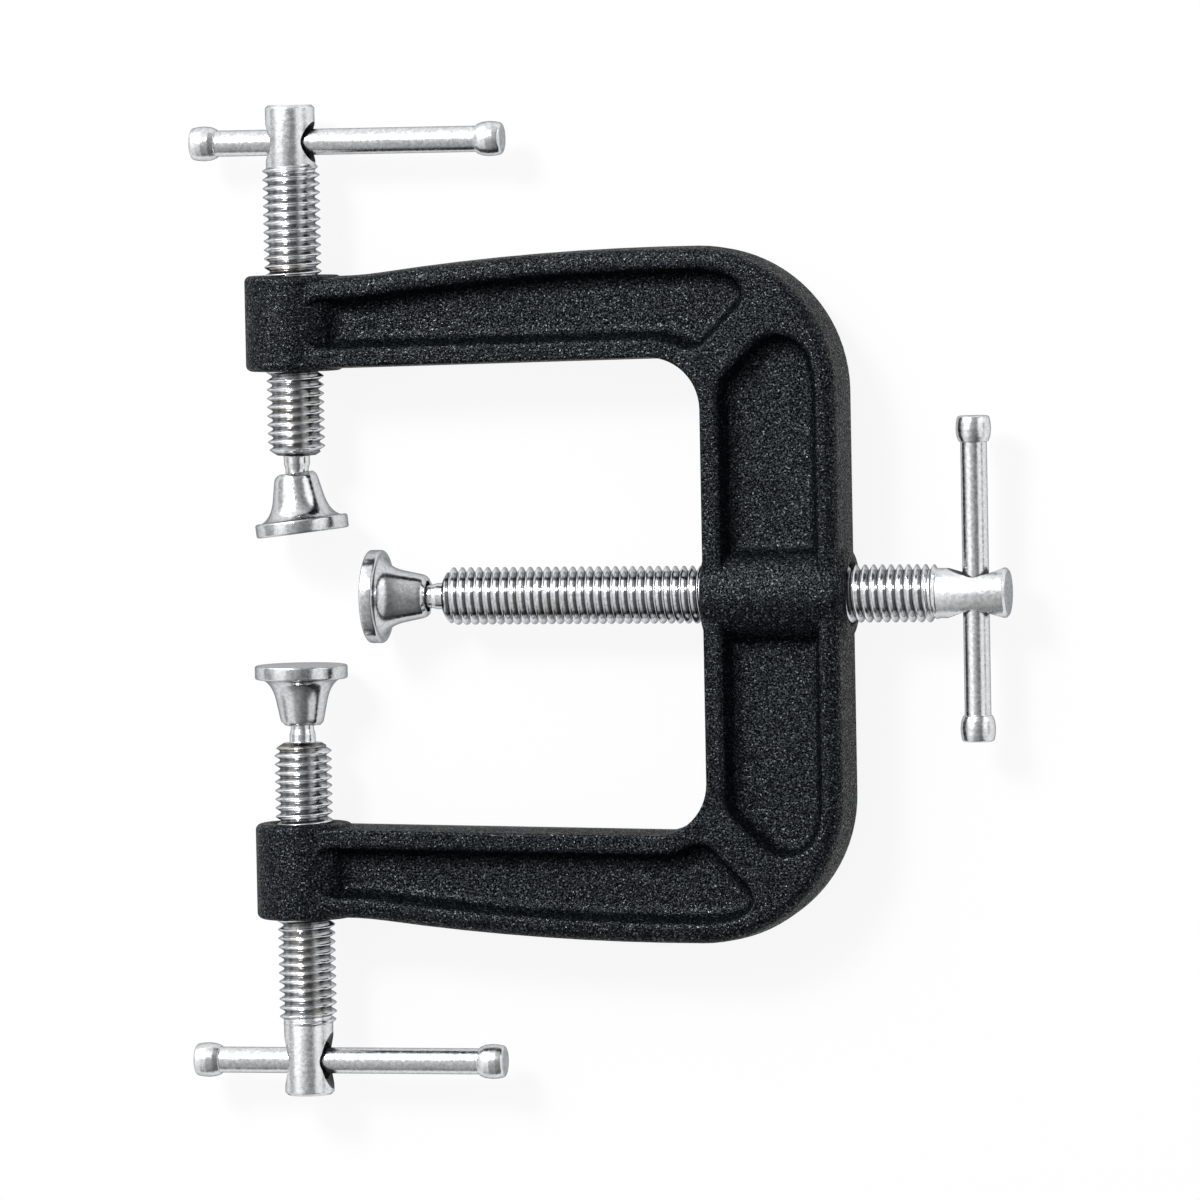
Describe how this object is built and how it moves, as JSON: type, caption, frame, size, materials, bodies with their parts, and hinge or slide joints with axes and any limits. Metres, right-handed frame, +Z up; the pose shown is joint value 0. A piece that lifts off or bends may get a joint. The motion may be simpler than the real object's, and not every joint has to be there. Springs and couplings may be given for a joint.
{
  "type": "edge clamp",
  "caption": "Cast C-frame clamp with opposed jaw screws and an edge screw through the spine, each with a sliding tommy bar and a swivel pad.",
  "frame": {"origin": "on the ground under the middle of the whole clamp, which lies flat on the frame's three bosses", "axes": "+Z up through the thickness of the frame, +Y along the jaw screws towards the upper one's handle, +X along the edge screw towards its handle"},
  "size_m": [0.1444, 0.1704, 0.0168],
  "materials": {
    "frame_casting": "black coated iron casting, satin, with a fine sand-cast grain",
    "screw_steel": "bright plated steel with rolled threads and a turned hub",
    "bar_steel": "bright plated round steel bar with upset knobs",
    "pad_steel": "bright plated turned steel with fine lathe marks"
  },
  "bodies": {
    "frame": {"frame": "frame_casting"},
    "upper_pad": {"upper_swivel_pad": "pad_steel"},
    "upper_screw": {"upper_spindle": "screw_steel"},
    "upper_bar": {"upper_tommy_bar": "bar_steel"},
    "lower_pad": {"lower_swivel_pad": "pad_steel"},
    "lower_screw": {"lower_spindle": "screw_steel"},
    "lower_bar": {"lower_tommy_bar": "bar_steel"},
    "edge_pad": {"edge_swivel_pad": "pad_steel"},
    "edge_screw": {"edge_spindle": "screw_steel"},
    "edge_bar": {"edge_tommy_bar": "bar_steel"}
  },
  "joints": [
    {"name": "upper_pad_travel", "type": "slide", "parent": "frame", "child": "upper_pad", "axis": [0, -1, 0], "range_m": [-0.0165, 0.0105]},
    {"name": "upper_screw_turn", "type": "hinge", "parent": "upper_pad", "child": "upper_screw", "pos_m": [-0.05203, 0.0189, 0.0084], "axis": [0, -1, 0], "range_deg": [-3960, 2520]},
    {"name": "upper_bar_slide", "type": "slide", "parent": "upper_screw", "child": "upper_bar", "axis": [1, 0, 0], "range_m": [-0.0287, 0.0087]},
    {"name": "lower_pad_travel", "type": "slide", "parent": "frame", "child": "lower_pad", "axis": [0, 1, 0], "range_m": [-0.0165, 0.0105]},
    {"name": "lower_screw_turn", "type": "hinge", "parent": "lower_pad", "child": "lower_screw", "pos_m": [-0.05203, -0.0182, 0.0084], "axis": [0, 1, 0], "range_deg": [-3960, 2520]},
    {"name": "lower_bar_slide", "type": "slide", "parent": "lower_screw", "child": "lower_bar", "axis": [1, 0, 0], "range_m": [-0.0261, 0.0113]},
    {"name": "edge_pad_travel", "type": "slide", "parent": "frame", "child": "edge_pad", "axis": [1, 0, 0], "range_m": [-0.018, 0.048]},
    {"name": "edge_screw_turn", "type": "hinge", "parent": "edge_pad", "child": "edge_screw", "pos_m": [-0.03222, 0.0007, 0.0084], "axis": [1, 0, 0], "range_deg": [-4320, 11520]},
    {"name": "edge_bar_slide", "type": "slide", "parent": "edge_screw", "child": "edge_bar", "axis": [0, 1, 0], "range_m": [-0.0211, 0.0163]}
  ],
  "couplings": [
    {"joint": "upper_screw_turn", "follows": "upper_pad_travel", "rad_per_m": 4188.8},
    {"joint": "lower_screw_turn", "follows": "lower_pad_travel", "rad_per_m": 4188.8},
    {"joint": "edge_screw_turn", "follows": "edge_pad_travel", "rad_per_m": 4188.8}
  ]
}
